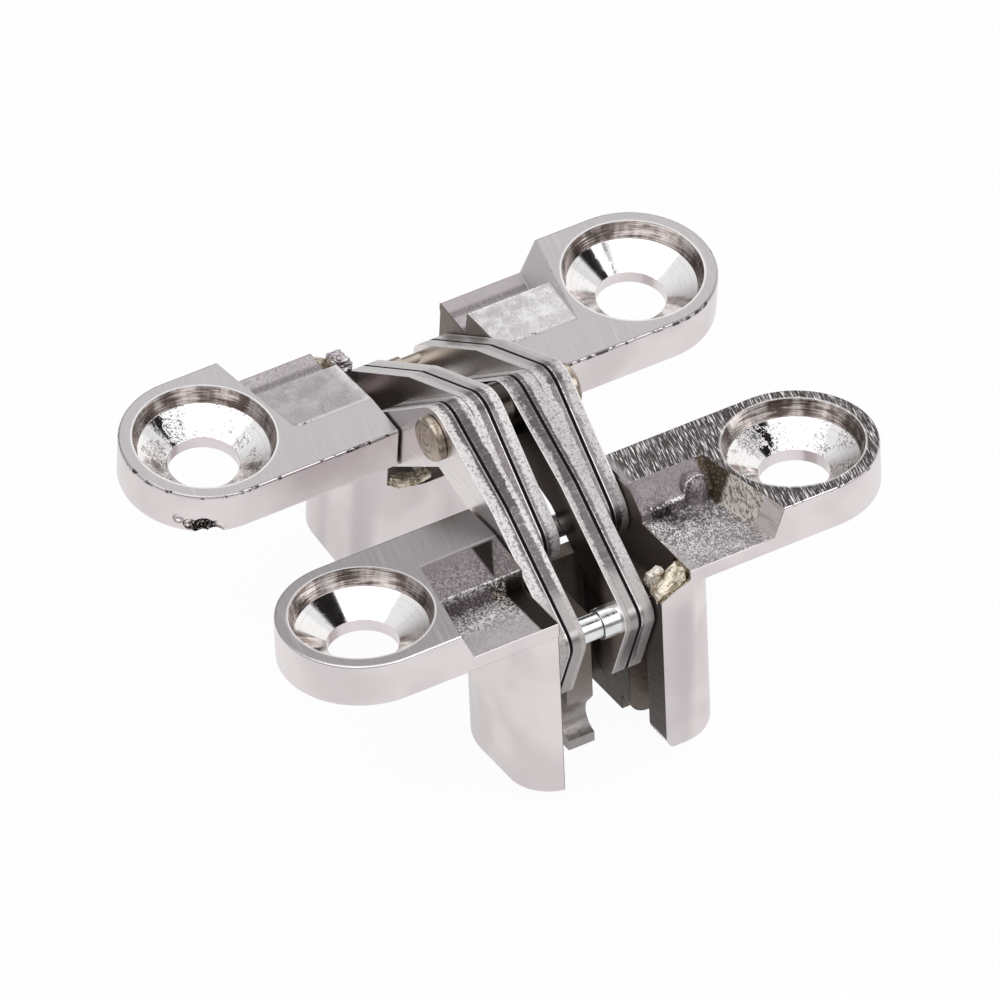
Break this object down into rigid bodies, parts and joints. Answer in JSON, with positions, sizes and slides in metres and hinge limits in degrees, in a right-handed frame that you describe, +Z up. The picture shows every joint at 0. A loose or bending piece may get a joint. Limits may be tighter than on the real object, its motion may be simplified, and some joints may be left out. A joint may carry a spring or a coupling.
{
  "type": "concealed door hinge",
  "caption": "Concealed door hinge: slotted cast leaves with countersunk screw ears, joined by crossed stacks of steel link plates that fold into the barrels as it closes.",
  "frame": {"origin": "on the supporting surface under the middle of the hinge, standing on its barrels in the open position", "axes": "+X along the pins and the leaves' length, +Y from the front leaf to the rear leaf, +Z up out of the leaves' faces"},
  "size_m": [0.045, 0.0344, 0.0214],
  "materials": {
    "casting": "nickel-plated zinc casting, ground faces and bright screw seats",
    "link_steel": "stamped steel with sheared edges",
    "pin_steel": "bright drawn steel",
    "rivet_metal": "browned steel rivet"
  },
  "bodies": {
    "front_side": {"front_leaf": "casting", "front_pivot_pin": "pin_steel"},
    "front_links": {"front_pivot_link_1": "link_steel", "front_pivot_link_2": "link_steel", "front_pivot_link_3": "link_steel", "front_pivot_link_4": "link_steel", "rear_slide_pin": "pin_steel", "rear_slide_sleeve_1": "pin_steel", "rear_slide_sleeve_2": "pin_steel"},
    "rear_links": {"rear_pivot_link_1": "link_steel", "rear_pivot_link_2": "link_steel", "rear_pivot_link_3": "link_steel", "rear_pivot_link_4": "link_steel", "front_slide_pin": "pin_steel", "front_slide_sleeve_1": "pin_steel", "front_slide_sleeve_2": "pin_steel", "centre_rivet": "rivet_metal", "centre_washer": "pin_steel"},
    "rear_side": {"rear_leaf": "casting", "rear_pivot_pin": "pin_steel"}
  },
  "joints": [
    {"name": "front_pivot_turn", "type": "hinge", "parent": "front_side", "child": "front_links", "pos_m": [0, -0.00671, 0.01406], "axis": [1, 0, 0], "range_deg": [0, 108.43]},
    {"name": "centre_rivet_turn", "type": "hinge", "parent": "front_links", "child": "rear_links", "pos_m": [0, 0, 0.0193], "axis": [1, 0, 0], "range_deg": [-44.88, 0]},
    {"name": "rear_pivot_turn", "type": "hinge", "parent": "rear_links", "child": "rear_side", "pos_m": [0, 0.00671, 0.01406], "axis": [1, 0, 0], "range_deg": [0, 108.43]}
  ],
  "couplings": [
    {"joint": "centre_rivet_turn", "follows": "front_pivot_turn", "ratio": -0.4137},
    {"joint": "rear_pivot_turn", "follows": "front_pivot_turn", "ratio": 1}
  ]
}
